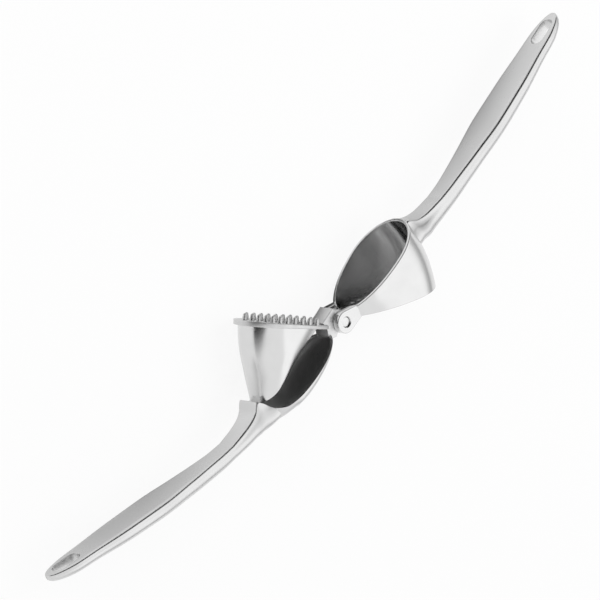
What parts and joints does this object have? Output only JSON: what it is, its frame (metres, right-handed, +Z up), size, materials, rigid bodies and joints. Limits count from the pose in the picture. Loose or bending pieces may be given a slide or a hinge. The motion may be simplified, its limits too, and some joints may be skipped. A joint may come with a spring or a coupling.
{
  "type": "garlic press",
  "caption": "Hand garlic press of polished steel: a leaf-shaped hopper with a perforated sieve, and a hinged plunger with a pinned press plate.",
  "frame": {"origin": "centre of the footprint of the open press, at the height of the surface it lies on", "axes": "+X along the open press, from the hinge towards the hopper's handle tip; +Z up, parallel to the hinge pin; +Y across, on the side where the hopper's mouth faces"},
  "size_m": [0.3652, 0.0612, 0.0318],
  "materials": {
    "polished_steel": "polished",
    "satin_steel": "satin",
    "sieve_steel": "satin"
  },
  "bodies": {
    "hopper_half": {"hopper_cup": "polished_steel", "sieve_plate": "sieve_steel", "hopper_handle": "polished_steel", "hinge_pin": "satin_steel"},
    "plunger_half": {"hinge_lug": "polished_steel", "plunger_bowl": "polished_steel", "plunger_handle": "polished_steel", "plunger_wedge": "polished_steel", "press_plate": "satin_steel", "cleaning_pins": "satin_steel"}
  },
  "joints": [
    {"name": "hinge", "type": "hinge", "parent": "hopper_half", "child": "plunger_half", "pos_m": [0.00009, -0.00703, 0.0159], "axis": [0, 0, 1], "range_deg": [-160, 0]}
  ]
}
